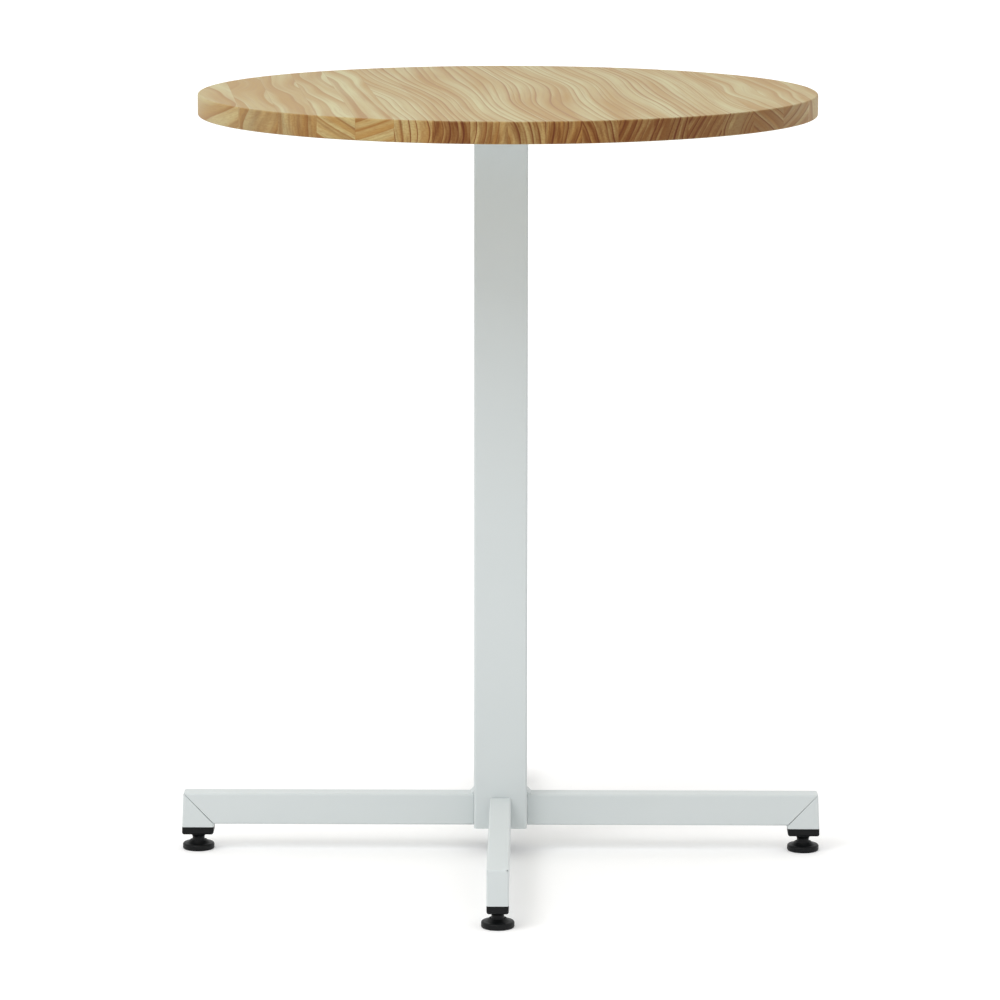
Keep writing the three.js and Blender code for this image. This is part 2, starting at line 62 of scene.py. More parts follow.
class Wire:
    """A socket in a node tree. Sums on it add Math nodes, and node() adds any other kind."""

    def __init__(self, tree, socket=None):
        self.tree = tree
        self.socket = socket

    def node(self, kind, settings=None, inputs=None, out=0):
        made = self.tree.nodes.new(kind)
        for name, value in (settings or {}).items():
            if name == "stops":
                while len(made.color_ramp.elements) < len(value):
                    made.color_ramp.elements.new(1)
                for element, (position, colour) in zip(made.color_ramp.elements, value):
                    element.position = position
                    element.color = colour
            elif name == "interpolation":
                made.color_ramp.interpolation = value
            else:
                setattr(made, name, value)
        for name, value in (inputs or {}).items():
            if isinstance(value, Wire):
                self.tree.links.new(value.socket, made.inputs[name])
            else:
                made.inputs[name].default_value = value
        return Wire(self.tree, made.outputs[out] if made.outputs else None)

    def math(self, operation, *values):
        return self.node("ShaderNodeMath", {"operation": operation}, dict(enumerate(values)))

    def mixed(self, factor, first, second, blend="MIX"):
        settings = {"data_type": "RGBA", "blend_type": blend}
        return self.node("ShaderNodeMix", settings, {0: factor, 6: first, 7: second}, out=2)

    def __add__(self, other):
        return self.math("ADD", self, other)

    def __radd__(self, other):
        return self.math("ADD", other, self)

    def __sub__(self, other):
        return self.math("SUBTRACT", self, other)

    def __rsub__(self, other):
        return self.math("SUBTRACT", other, self)

    def __mul__(self, other):
        return self.math("MULTIPLY", self, other)

    def __rmul__(self, other):
        return self.math("MULTIPLY", other, self)

    def __truediv__(self, other):
        return self.math("DIVIDE", self, other)

    def __rtruediv__(self, other):
        return self.math("DIVIDE", other, self)


def new_finish(name):
    """An empty node material, with a wire to build it from."""
    finish = bpy.data.materials.new(name)
    finish.use_nodes = True
    finish.node_tree.nodes.clear()
    return finish, Wire(finish.node_tree)


def noise(wire, place, scale, detail):
    """Cloudy values between 0 and 1."""
    return wire.node("ShaderNodeTexNoise", None, {"Vector": place, "Scale": scale, "Detail": detail}, out="Fac")


def bumped(wire, height, strength, depth=bump_depth):
    """A normal that follows a height."""
    return wire.node("ShaderNodeBump", None, {"Strength": strength, "Distance": depth, "Height": height})


def surfaced(wire, sockets):
    """Ends a material in one Principled surface."""
    shader = wire.node("ShaderNodeBsdfPrincipled", None, sockets)
    wire.node("ShaderNodeOutputMaterial", None, {"Surface": shader})


def painted_steel():
    finish, wire = new_finish("powder_coat")
    place = wire.node("ShaderNodeTexCoord", out="Object")
    cloud = noise(wire, place, cloud_scale, detail=3)
    peel = noise(wire, place, peel_scale, detail=2)
    surfaced(wire, {
        "Base Color": wire.mixed(cloud, coat_deep, coat_pale),
        "Roughness": 0.36 + 0.16 * peel,
        "Specular IOR Level": 0.35,
        "Normal": bumped(wire, peel, strength=0.12),
    })
    return finish


def rounded_outline(half_x, half_y, radius, steps=8):
    """Points round a rectangle with round corners, anticlockwise."""
    points = []
    for quarter, (side_x, side_y) in enumerate(((1, 1), (-1, 1), (-1, -1), (1, -1))):
        for step in range(steps + 1):
            angle = math.pi / 2 * (quarter + step / steps)
            points.append((side_x * (half_x - radius) + radius * math.cos(angle),
                           side_y * (half_y - radius) + radius * math.sin(angle)))
    return points


def lofted(rings, bore=None, capped=True):
    """Closed mesh through rings of points; a bore of rings makes it a tube with square-cut ends."""
    shape = bmesh.new()

    def strip(first, second):
        for a, b, c, d in zip(first, first[1:] + first[:1], second[1:] + second[:1], second):
            shape.faces.new((a, b, c, d))

    def wall(rows):
        rows = [[shape.verts.new(point) for point in row] for row in rows]
        for first, second in zip(rows, rows[1:]):
            strip(first, second)
        return rows[0], rows[-1]

    start, end = wall(rings)
    if bore:
        bore_start, bore_end = wall(bore)
        strip(start, bore_start)
        strip(end, bore_end)
    elif capped:
        shape.faces.new(start)
        shape.faces.new(end)
    bmesh.ops.remove_doubles(shape, verts=shape.verts, dist=merge_distance)
    bmesh.ops.recalc_face_normals(shape, faces=shape.faces)
    mesh = bpy.data.meshes.new("lofted")
    shape.to_mesh(mesh)
    shape.free()
    return mesh


def evaluated(mesh, *modifiers):
    """The mesh that a row of modifiers, each a type with its settings, makes of a mesh."""
    maker = bpy.data.objects.new("maker", mesh)
    bpy.context.scene.collection.objects.link(maker)
    for kind, settings in modifiers:
        modifier = maker.modifiers.new(kind, kind)
        for name, value in settings.items():
            if name in modifier.bl_rna.properties:
                setattr(modifier, name, value)
            else:
                modifier[name] = value
    graph = bpy.context.evaluated_depsgraph_get()
    result = bpy.data.meshes.new_from_object(maker.evaluated_get(graph))
    bpy.data.objects.remove(maker)
    return result


def fitted(name, mesh, finish, body, slot, *nodes):
    """A finished piece: smooth with sharp edges kept, riding on its body in place of its CAD nodes."""
    mesh.materials.clear()
    mesh.materials.append(finish)
    mesh.shade_smooth()
    mesh.set_sharp_from_angle(angle=sharp_angle)
    mesh = evaluated(mesh, ("WEIGHTED_NORMAL", {"keep_sharp": True}))
    piece = bpy.data.objects.new(name, mesh)
    bpy.context.scene.collection.objects.link(piece)
    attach(piece, body)
    if nodes:
        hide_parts(*nodes)
    return piece


powder_coat = painted_steel()
column_half = (column_high.x - column_low.x) / 2
column_inside = column_half - column_wall
column_outline = rounded_outline(column_half, column_half, column_corner)
column_bore = rounded_outline(column_inside, column_inside, column_corner - column_wall)
column_ends = (column_low.z, column_high.z)
column_tube = lofted([[(x, y, z) for x, y in column_outline] for z in column_ends],
                     [[(x, y, z) for x, y in column_bore] for z in column_ends])
fitted("column_tube", column_tube, powder_coat, "frame", "powder_coat", "column")


# Legs
# Four 30 x 45 mm tubes with 2 mm walls. Each is notched near its outer end and folded down a little short
# of square, which leaves an open mitre seam on its sides and a small relief hole through the bend.
sides = {side: Matrix.Rotation(math.radians(turn), 4, "Z")
         for side, turn in (("right", 0), ("back", 90), ("left", 180), ("front", 270))}
leg_low, leg_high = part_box("leg_right")
leg_half_width = leg_high.y
leg_half_height = 22.5 * mm
leg_wall = 2 * mm
leg_corner = 3 * mm
leg_chamfer = 0.7 * mm
bore_chamfer = 0.1 * mm
stub_lean = math.radians(2.5)
fold_radius = 3 * mm
fold_steps = 8
seam_tight = 0.5 * mm
seam_open = 1.0 * mm
seam_depth = 1.2 * leg_wall
relief_radius = 1.2 * mm
relief_inset = 2.2 * mm
relief_reach = 4 * leg_wall
mitre = math.tan(math.pi / 4 - stub_lean / 2)
splay = math.tan(stub_lean)
leg_axis = column_low.z + leg_half_height
leg_top = leg_axis + leg_half_height
leg_tip = leg_high.x - splay * (leg_top - leg_low.z)
fold_axis = leg_tip - mitre * leg_half_height
foot_axis = fold_axis + splay * (leg_axis - leg_low.z)


def folded_rings(outline, bend, chamfer=0):
    """Rings along a bar that runs out from the column, folds down round an outer bend and splays."""
    slim = 1 - chamfer / leg_half_width
    rings = [[(leg_low.x, slim * y, leg_axis + slim * up) for y, up in outline],
             [(leg_low.x + chamfer, y, leg_axis + up) for y, up in outline]]
    for step in range(fold_steps + 1):
        angle = (math.pi / 2 - stub_lean) * step / fold_steps
        ring = []
        for y, up in outline:
            inner = min(up, leg_half_height - bend)
            outer = up - inner
            ring.append((fold_axis + mitre * inner + outer * math.sin(angle), y,
                         leg_axis + inner + outer * math.cos(angle)))
        rings.append(ring)
    drop = leg_axis - leg_low.z
    return rings + [[(fold_axis + mitre * up + splay * (drop + up), y, leg_low.z) for y, up in outline]]


def cut_away(mesh, *tools):
    """The mesh less the space of each tool's mesh."""
    cutters = [bpy.data.objects.new("cutter", tool) for tool in tools]
    for cutter in cutters:
        bpy.context.scene.collection.objects.link(cutter)
    result = evaluated(mesh, *(("BOOLEAN", {"operation": "DIFFERENCE", "solver": "EXACT", "object": cutter})
                               for cutter in cutters))
    for cutter in cutters:
        bpy.data.objects.remove(cutter)
    return result


def turned(profile, segments, capped=True):
    """Closed mesh of a profile of (radius, height) points spun about the upright axis."""
    rings = []
    for radius, height in profile:
        angles = [2 * math.pi * step / segments for step in range(segments)]
        rings.append([(radius * math.cos(angle), radius * math.sin(angle), height) for angle in angles])
    return lofted(rings, capped=capped)


def cylinder(radius, low, high, segments):
    """Closed upright cylinder, or a prism where the segments are few."""
    return turned([(0, low), (radius, low), (radius, high), (0, high)], segments)


def moved(mesh, *steps):
    """A copy of the mesh, moved by each matrix in turn."""
    copy = mesh.copy()
    for step in steps:
        copy.transform(step)
    return copy


leg_outline = rounded_outline(leg_half_width, leg_half_height, leg_corner)
leg_bore = rounded_outline(leg_half_width - leg_wall, leg_half_height - leg_wall, leg_corner - leg_wall)
leg_tube = lofted(folded_rings(leg_outline, fold_radius, leg_chamfer), folded_rings(leg_bore, 0, bore_chamfer))
along_mitre = Matrix.Rotation(-math.pi / 4 - stub_lean / 2, 4, "Y")
seam_half = leg_half_height * math.hypot(1, mitre)
seam_outline = [(-seam_half, -seam_open / 2), (seam_half, -seam_tight / 2),
                (seam_half, seam_tight / 2), (-seam_half, seam_open / 2)]
seam = lofted([[(x, y, z) for x, z in seam_outline] for y in (-seam_depth, seam_depth)])
leg_cutters = [moved(seam, along_mitre, Matrix.Translation((fold_axis, side * leg_half_width, leg_axis)))
               for side in (-1, 1)]
relief = cylinder(relief_radius, -relief_reach, relief_reach, segments=20)
leg_cutters.append(moved(relief, Matrix.Rotation(math.pi / 2, 4, "Y"), along_mitre,
                         Matrix.Translation((leg_tip, leg_half_width - relief_inset, leg_top))))
leg_tube = cut_away(leg_tube, *leg_cutters)
for side, facing in sides.items():
    fitted(f"leg_tube_{side}", moved(leg_tube, facing), powder_coat, "frame", "powder_coat", f"leg_{side}")


# Weld beads
# Fillet welds in rippled runs: one across the top of each leg but the front one where it meets the column, a
# smaller one inside each fold, and one round the head of the column under the plate, all coated with the frame.
root_bead = 6.0 * mm
fold_bead = 2.8 * mm
plate_bead = 4.8 * mm
bead_corner = 1.0 * mm
bead_offset = 0.3 * mm
bead_overrun = 0.6 * mm
bead_taper = 0.45
taper_rate = 9
ripple_pitch = 2.4 * mm
ripple_height = 0.22 * mm
ripple_steps = 6
plate_thickness = 6 * mm
plate_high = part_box("top_plate")[1]
plate_underside = plate_high.z - plate_thickness


def geometry_tree(name, sizes):
    """A geometry tree with named number inputs and a finish; returns the tree and its inputs."""
    tree = bpy.data.node_groups.new(name, "GeometryNodeTree")
    tree.is_modifier = True
    tree.interface.new_socket("Geometry", in_out="INPUT", socket_type="NodeSocketGeometry")
    for size in sizes:
        tree.interface.new_socket(size, in_out="INPUT", socket_type="NodeSocketFloat")
    tree.interface.new_socket("Finish", in_out="INPUT", socket_type="NodeSocketMaterial")
    tree.interface.new_socket("Geometry", in_out="OUTPUT", socket_type="NodeSocketGeometry")
    inlet = tree.nodes.new("NodeGroupInput")
    return tree, {socket.name: Wire(tree, socket) for socket in inlet.outputs if socket.name}


def close_tree(tree, geometry, finish):
    """Ends a geometry tree in real geometry with its finish."""
    real = geometry.node("GeometryNodeRealizeInstances", None, {0: geometry})
    done = real.node("GeometryNodeSetMaterial", None, {"Geometry": real, "Material": finish})
    done.node("NodeGroupOutput", None, {0: done})


def grown(tree, mesh, values):
    """The plain mesh that a geometry tree makes from a starting mesh and its named inputs."""
    settings = {"node_group": tree}
    for item in tree.interface.items_tree:
        if item.in_out == "INPUT" and item.name in values:
            settings[item.identifier] = values[item.name]
    return evaluated(mesh, ("NODES", settings))


def bead_tree():
    tree, size = geometry_tree("weld_bead", ("Leg", "Corner", "Ripple Pitch", "Ripple Height", "End Taper"))
    run = size["Geometry"].node("GeometryNodeMeshToCurve", None, {0: size["Geometry"]})
    run = run.node("GeometryNodeResampleCurve", {"mode": "LENGTH"}, {
        0: run, "Length": size["Ripple Pitch"] / ripple_steps})
    share = run.node("GeometryNodeSplineParameter", out="Factor")
    length = run.node("GeometryNodeSplineParameter", out="Length")
    wave = run.math("SINE", length / size["Ripple Pitch"] * math.pi)
    ripple = run.math("ABSOLUTE", wave) * size["Ripple Height"]
    ends = run.math("MINIMUM", share * (1 - share) * taper_rate, 1)
    thickness = 1 - size["End Taper"] * (1 - ends) + ripple / size["Leg"]
    section = run.node("GeometryNodeCurvePrimitiveCircle", None, {"Resolution": 4, "Radius": size["Leg"]})
    section = run.node("GeometryNodeFilletCurve", {"mode": "POLY"}, {
        "Curve": section, "Count": 4, "Radius": size["Corner"]})
    bead = run.node("GeometryNodeCurveToMesh", None, {
        "Curve": run, "Profile Curve": section, "Scale": thickness, "Fill Caps": True})
    close_tree(tree, bead, size["Finish"])
    return tree


def path_mesh(points, closed=False):
    """A line of edges through points."""
    count = len(points)
    edges = [(step, (step + 1) % count) for step in range(count if closed else count - 1)]
    mesh = bpy.data.meshes.new("path")
    mesh.from_pydata(points, edges, [])
    return mesh


weld_bead = bead_tree()
bead_sizes = {"Corner": bead_corner, "Ripple Pitch": ripple_pitch, "Ripple Height": ripple_height,
              "Finish": powder_coat}
bead_reach = leg_half_width - leg_corner + bead_overrun
fold_inside = fold_axis - mitre * leg_half_height
for side, facing in sides.items():
    for name, leg_size, x, z in (("root", root_bead, column_half + bead_offset, leg_top + bead_offset),
                                 ("fold", fold_bead, fold_inside, column_low.z)):
        if (name, side) == ("root", "front"):
            continue
        run = path_mesh([(x, y, z) for y in (-bead_reach, 0, bead_reach)])
        bead = grown(weld_bead, run, {**bead_sizes, "Leg": leg_size, "End Taper": bead_taper})
        bead.transform(facing)
        fitted(f"{name}_weld_{side}", bead, powder_coat, "frame", "powder_coat")
run = [(x, y, plate_underside - bead_offset)
       for x, y in rounded_outline(column_half + bead_offset, column_half + bead_offset, column_corner)]
bead = grown(weld_bead, path_mesh(run, closed=True), {**bead_sizes, "Leg": plate_bead, "End Taper": 0.0})
fitted("plate_weld", bead, powder_coat, "frame", "powder_coat")


# Top plate
# A 300 mm square of 6 mm steel with round corners and broken edges, drilled for eight screws. It is welded
# on the column's head, coated with the frame, and carries the timber.
plate_corner = 20 * mm
plate_bevel = 0.6 * mm
screw_reach = 125 * mm
screw_clearance = 3.6 * mm
# how far a cutter passes the face that it cuts
overcut = 1 * mm
plate_half = plate_high.x
plate_rings = []
for inset, height in ((plate_bevel, plate_underside), (0, plate_underside + plate_bevel),
                      (0, plate_high.z - plate_bevel), (plate_bevel, plate_high.z)):
    outline = rounded_outline(plate_half - inset, plate_half - inset, plate_corner - inset, steps=12)
    plate_rings.append([(x, y, height) for x, y in outline])
plate = lofted(plate_rings)
drill = cylinder(screw_clearance, plate_underside - overcut, plate_high.z + overcut, segments=24)
screw_places = [(step_x * screw_reach, step_y * screw_reach)
                for step_x in (-1, 0, 1) for step_y in (-1, 0, 1) if step_x or step_y]
plate = cut_away(plate, *(moved(drill, Matrix.Translation((x, y, 0))) for x, y in screw_places))
fitted("plate", plate, powder_coat, "frame", "powder_coat", "top_plate")


# Timber top
# Eighteen staves of a pale timber with bold growth rings, glued edge to edge into a panel, turned to a disc
# 30 mm thick with its edges eased, bored for the inserts underneath and lacquered satin.
stave_boxes = [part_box(f"top_stave_{number:02d}") for number in range(1, 19)]
top_west = min(low.x for low, _ in stave_boxes)
top_east = max(high.x for _, high in stave_boxes)
top_centre = (top_west + top_east) / 2
top_radius = (top_east - top_west) / 2
top_underside = stave_boxes[0][0].z
top_surface = stave_boxes[0][1].z
stave_count = len(stave_boxes)
panel_spare = 16 * mm
panel_shift = 16 * mm
stave_width = (2 * top_radius + panel_spare) / stave_count
grain_angle = math.radians(6)
edge_radius = 2.5 * mm
insert_hole = 5.3 * mm
insert_depth = 14 * mm
glue_line = 0.3 * mm
cut_tolerance = 0.001 * mm
early_pale = (0.530, 0.478, 0.255, 1)
early_tan = (0.415, 0.265, 0.088, 1)
late_brown = (0.29, 0.13, 0.035, 1)
# the sawn ends run from gold to umber: partly the wood's own tone, partly painted light on the left of the rim
# and painted shade on its right
end_gold_and_light = (0.96, 0.82, 0.64, 1)
end_umber_and_shade = (0.38, 0.16, 0.035, 1)
# for each stave: the slant of its rings on the sawn end, their spacing in mm, and how dark that end is: partly
# its own stain, partly painted shade that grows towards the staves on the right, away from the light
stave_habits = (
    (-1.2, 45, 0.1), (0.15, 38, 0.64), (0.0, 34, 0.46), (0.9, 26, 0.1), (-2.2, 30, 0.0), (0.15, 11, 0.15),
    (-0.1, 11, 0.75), (-0.35, 11, 0.42), (0.45, 11, 0.38), (0.05, 11, 0.5), (0.6, 11, 0.62), (0.05, 11, 0.8),
    (0.05, 11, 1.0), (-0.4, 11, 1.0), (-0.4, 11, 1.0), (1.4, 26, 1.0), (-1.3, 22, 1.0), (0.3, 22, 0.9))
slant_limit = 2.5
spacing_limit = 50
flat_spacing = 20 * mm
# how dark one year's ring is, from its start to its end
ring_tones = ((0.0, 0.5), (0.07, 0.0), (0.50, 0.03), (0.80, 0.18), (0.92, 1), (0.97, 1), (1.0, 0.5))
ring_drift = 0.04
ring_bow = 14
ring_sway = 0.10
uneven_rate = 50
uneven_sway = 0.022
faint_year = 0.35
# features in each metre across, along and down through the wood
wave_rates = (5, 1.5, 8)
fibre_rates = (330, 7, 400)
band_rates = (28, 1.6, 10)
streak_rates = (170, 3, 25)
# how far apart the patterns of neighbouring flat-sawn staves start
wave_start = 1.7
band_start = 3.3
# where the draws of chance for each stave and each year are taken
stave_draw = 3.17
first_draw = 2.3
year_draw = 1.73
band_contrast = 2.8
band_level = 1.25
fibre_contrast = 2.2
streak_contrast = 0.9
stain_contrast = 2.6
grain_depth = 0.15 * mm


def lacquered_timber():
    finish, wire = new_finish("lacquered_timber")
    place = wire.node("ShaderNodeTexCoord", out="Object")
    x, y, z = (wire.node("ShaderNodeSeparateXYZ", None, {0: place}, out=axis) for axis in "XYZ")
    across = x * math.cos(grain_angle) + y * math.sin(grain_angle) - panel_shift
    along = y * math.cos(grain_angle) - x * math.sin(grain_angle)
    depth = top_surface - z

    def marking(sideways, rates, shift, detail):
        """Noise that is drawn out along the staves."""
        spot = wire.node("ShaderNodeCombineXYZ", None, {
            "X": sideways * rates[0], "Y": along * rates[1] + shift, "Z": depth * rates[2]})
        return noise(wire, spot, 1, detail)

    # each stave keeps its own habits; wide-ringed staves are sawn flat and start a pattern of their own
    stave = wire.math("FLOOR", across / stave_width + stave_count / 2)
    beside = across - (stave - (stave_count - 1) / 2) * stave_width
    stops = [(number / stave_count, (slant / (2 * slant_limit) + 0.5, spacing / spacing_limit, end_stain_and_shade, 1))
             for number, (slant, spacing, end_stain_and_shade) in enumerate(stave_habits)]
    habits = wire.node("ShaderNodeValToRGB", {"stops": stops, "interpolation": "CONSTANT"},
                       {"Fac": (stave + 0.5) / stave_count})
    slant, spacing, end_stain_and_shade = (wire.node("ShaderNodeSeparateColor", None, {0: habits}, out=band)
                             for band in range(3))
    slant = (slant - 0.5) * (2 * slant_limit)
    spacing = spacing * (spacing_limit * mm)
    flat_sawn = wire.math("GREATER_THAN", spacing, flat_spacing)
    chances = wire.node("ShaderNodeTexWhiteNoise", {"noise_dimensions": "1D"}, {
        "W": stave * stave_draw + first_draw}, out="Color")
    bow, tint = (wire.node("ShaderNodeSeparateColor", None, {0: chances}, out=band) for band in range(2))

    # rings run along the staves in long waves, and slant and bow down through the sawn ends
    wave = marking(across, wave_rates, flat_sawn * (along + stave * wave_start), detail=1)
    reach = (across + along * ring_drift - depth * slant + depth * depth * (bow - 0.5) * ring_bow
             + (wave - 0.5) * ring_sway)
    uneven = wire.node("ShaderNodeTexNoise", {"noise_dimensions": "1D"},
                       {"W": reach * uneven_rate, "Scale": 1, "Detail": 1}, out="Fac")
    turn = (reach + (uneven - 0.5) * uneven_sway) / spacing
    year = wire.math("FLOOR", turn)
    age = turn - year
    vigour = wire.node("ShaderNodeTexWhiteNoise", {"noise_dimensions": "1D"},
                       {"W": year * year_draw + stave * flat_sawn}, out="Value")
    late = wire.node("ShaderNodeValToRGB", {"stops": [(at, (tone, tone, tone, 1)) for at, tone in ring_tones]},
                     {"Fac": age})
    late = late * (faint_year + (1 - faint_year) * vigour)
    late_end = late * (1 - 0.7 * flat_sawn * (1 - end_stain_and_shade))
    late = late * (1 - 0.5 * flat_sawn)

    # fibres, streaks and bands of warmer wood follow the rings
    fibre = marking(reach, fibre_rates, 0, detail=3)
    streak = marking(reach, streak_rates, 0, detail=3)
    band = marking(reach, band_rates, flat_sawn * stave * band_start, detail=2)

    # the sawn ends on the rim take the lacquer deeper
    normal = wire.node("ShaderNodeNewGeometry", out="Normal")
    facing = wire.node("ShaderNodeVectorMath", {"operation": "DOT_PRODUCT"},
                       {0: normal, 1: (-math.sin(grain_angle), math.cos(grain_angle), 0)}, out="Value")
    end = wire.math("ABSOLUTE", facing)

    # early wood first, then the dark late rings, the fibres, the stained ends with painted light on the left
    # staves and painted shade on the right ones, and the glue lines
    warm = (band * band_contrast - band_level + tint * 0.25 + age * (0.5 + 0.2 * flat_sawn)
            + flat_sawn * (0.3 * end_stain_and_shade - 0.2))
    warm = wire.math("SMOOTH_MIN", wire.math("MAXIMUM", warm, 0), 1, 0.1)
    wood = wire.mixed(warm, early_pale, early_tan)
    wood = wire.mixed(late * (0.8 + 0.2 * end), wood, late_brown)
    fleck = 0.12 + 0.13 * end + (0.5 - fibre) * fibre_contrast + (0.5 - streak) * streak_contrast
    wood = wire.mixed(fleck * (0.45 + 0.1 * end), wood, late_brown)
    # end tone: the stave's own stain, with painted shade on the staves to the right and painted light on those to
    # the left
    end_tone = wire.mixed(wire.math("MAXIMUM", end_stain_and_shade + (streak - 0.5) * stain_contrast, 0), end_gold_and_light, end_umber_and_shade)
    wood = wire.mixed(end, wood, wire.mixed(1, wood, end_tone, "MULTIPLY"))
    wood = wire.mixed(late_end * end * 0.85, wood, wire.mixed(1, late_brown, end_umber_and_shade, "MULTIPLY"))
    joint = wire.math("GREATER_THAN", wire.math("ABSOLUTE", beside), stave_width / 2 - glue_line)
    surfaced(wire, {
        "Base Color": wire.mixed(joint * 0.3, wood, late_brown),
        "Roughness": 0.44 + 0.12 * fibre + 0.05 * end,
        "Specular IOR Level": 0.25,
        "Normal": bumped(wire, fibre * 0.6 - late * 0.4, strength=0.15, depth=grain_depth),
    })
    return finish


def quarter_round(centre_radius, centre_height, radius, start, stop, steps=5):
    """Profile points on an arc between two angles, in degrees."""
    angles = [math.radians(start + (stop - start) * step / steps) for step in range(steps + 1)]
    return [(centre_radius + radius * math.cos(angle), centre_height + radius * math.sin(angle))
            for angle in angles]


timber = lacquered_timber()
top_flat = top_radius - edge_radius
disc = turned([(0, top_underside)] + quarter_round(top_flat, top_underside + edge_radius, edge_radius, -90, 0)
              + quarter_round(top_flat, top_surface - edge_radius, edge_radius, 0, 90) + [(0, top_surface)],
              segments=288)
disc = moved(disc, Matrix.Translation((top_centre, 0, 0)))
bore = cylinder(insert_hole, top_underside - overcut, top_underside + insert_depth, segments=24)
disc = cut_away(disc, *(moved(bore, Matrix.Translation((x, y, 0))) for x, y in screw_places))
across_grain = Vector((math.cos(grain_angle), math.sin(grain_angle), 0))
for number in range(stave_count):
    shape = bmesh.new()
    shape.from_mesh(disc)
    centre = panel_shift + (number - (stave_count - 1) / 2) * stave_width
    for side in (-1, 1):
        bmesh.ops.bisect_plane(shape, geom=shape.verts[:] + shape.edges[:] + shape.faces[:], dist=cut_tolerance,
                               plane_co=across_grain * (centre + side * stave_width / 2),
                               plane_no=across_grain * side, clear_outer=True)
        bmesh.ops.holes_fill(shape, edges=[edge for edge in shape.edges if edge.is_boundary])
    stave = bpy.data.meshes.new("stave")
    shape.to_mesh(stave)
    shape.free()
    fitted(f"stave_{number + 1:02d}", stave, timber, "frame", "timber", f"top_stave_{number + 1:02d}")


# Inserts
# Eight turned brass sleeves, threaded inside, screwed into bores in the underside of the timber.
# The plate hides them, so the CAD solids stay and take a turned finish.
brass_deep = (0.60, 0.43, 0.16, 1)
brass_pale = (0.68, 0.50, 0.21, 1)
turning_scale = 400


def turned_brass():
    finish, wire = new_finish("turned_brass")
    place = wire.node("ShaderNodeTexCoord", out="Object")
    ring = wire.node("ShaderNodeTexWave", {"bands_direction": "Z"},
                     {"Vector": place, "Scale": turning_scale, "Distortion": 1}, out="Fac")
    surfaced(wire, {
        "Base Color": wire.mixed(ring, brass_deep, brass_pale),
        "Metallic": 1.0,
        "Roughness": 0.28 + 0.12 * ring,
        "Normal": bumped(wire, ring, strength=0.2),
    })
    return finish


brass = turned_brass()
for number in range(1, len(screw_places) + 1):
    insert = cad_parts[f"top_insert_{number}"]
    insert.data.materials.clear()
    insert.data.materials.append(brass)


# Plate screws
# Eight M6 button-head screws with hexagon sockets, zinc plated. They come up through the plate into the
# inserts, at the corners and mid sides of a square.
screw_low, screw_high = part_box("plate_screw_1")
head_height = 3.3 * mm
head_radius = 6 * mm
shank_radius = 3 * mm
tip_chamfer = 0.5 * mm
socket_flats = 4 * mm
socket_depth = 2 * mm
socket_point = 0.6 * mm
centre_gap = 1 * mm
zinc_deep = (0.48, 0.49, 0.50, 1)
zinc_pale = (0.62, 0.63, 0.63, 1)
spangle_scale = 260


def zinc_plate():
    finish, wire = new_finish("zinc_plate")
    place = wire.node("ShaderNodeTexCoord", out="Object")
    spangle = noise(wire, place, spangle_scale, detail=3)
    surfaced(wire, {
        "Base Color": wire.mixed(spangle, zinc_deep, zinc_pale),
        "Metallic": 1.0,
        "Roughness": 0.26 + 0.18 * spangle,
        "Normal": bumped(wire, spangle, strength=0.1),
    })
    return finish


def screw_rows_tree():
    tree, size = geometry_tree("screw_rows", ("Pitch", "Centre Gap"))
    grid = size["Pitch"].node("GeometryNodeMeshGrid", None, {
        "Size X": size["Pitch"] * 2, "Size Y": size["Pitch"] * 2, "Vertices X": 3, "Vertices Y": 3})
    here = grid.node("GeometryNodeInputPosition")
    off_centre = grid.node("ShaderNodeVectorMath", {"operation": "LENGTH"}, {0: here}, out="Value")
    in_centre = grid.math("LESS_THAN", off_centre, size["Centre Gap"])
    places = grid.node("GeometryNodeDeleteGeometry", None, {0: grid, 1: in_centre})
    screws = grid.node("GeometryNodeInstanceOnPoints", None, {"Points": places, "Instance": size["Geometry"]})
    close_tree(tree, screws, size["Finish"])
    return tree


zinc = zinc_plate()
screw_seat = screw_low.z + head_height
dome_radius = (head_radius ** 2 + head_height ** 2) / (2 * head_height)
dome_edge = -math.degrees(math.asin((dome_radius - head_height) / dome_radius))
screw = turned(quarter_round(0, screw_low.z + dome_radius, dome_radius, -90, dome_edge, steps=8)
               + [(shank_radius, screw_seat), (shank_radius, screw_high.z - tip_chamfer),
                  (shank_radius - tip_chamfer, screw_high.z), (0, screw_high.z)], segments=32)
socket_corner = socket_flats / math.sqrt(3)
socket_floor = screw_low.z + socket_depth
socket = turned([(0, screw_low.z - overcut), (socket_corner, screw_low.z - overcut),
                 (socket_corner, socket_floor), (0, socket_floor + socket_point)], segments=6)
screws = grown(screw_rows_tree(), cut_away(screw, socket), {
    "Pitch": screw_reach, "Centre Gap": centre_gap, "Finish": zinc})
fitted("plate_screws", screws, zinc, "frame", "zinc_steel",
       *(f"plate_screw_{number}" for number in range(1, len(screw_places) + 1)))


# Leg plugs
# A moulded black plastic plug in each leg end: a flange as wide as the tube with rounded lower edges, and
# a hollow spigot with grip fins, pushed up inside. A pocket in its underside holds a nut.
plug_low, plug_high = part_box("leg_plug_right")
flange_height = 11 * mm
flange_round = 3.5 * mm
fin_inset = 2.3 * mm
fin_depth = 1 * mm
fin_pitch = 6 * mm
fin_count = 3
fin_foot = 2 * mm
fin_tip = 1 * mm
least_corner = 0.3 * mm
plug_wall = 2 * mm
nut_flats = 13 * mm
nut_clearance = 0.3 * mm
pocket_depth = 7.1 * mm
stem_bore = 4.5 * mm
boss_height = 14 * mm
plug_tone = (0.003, 0.0034, 0.0037)
plug_roughness = 0.34
scuff_gain = 1.8
scuff_scale = 60
spark_scale = 900


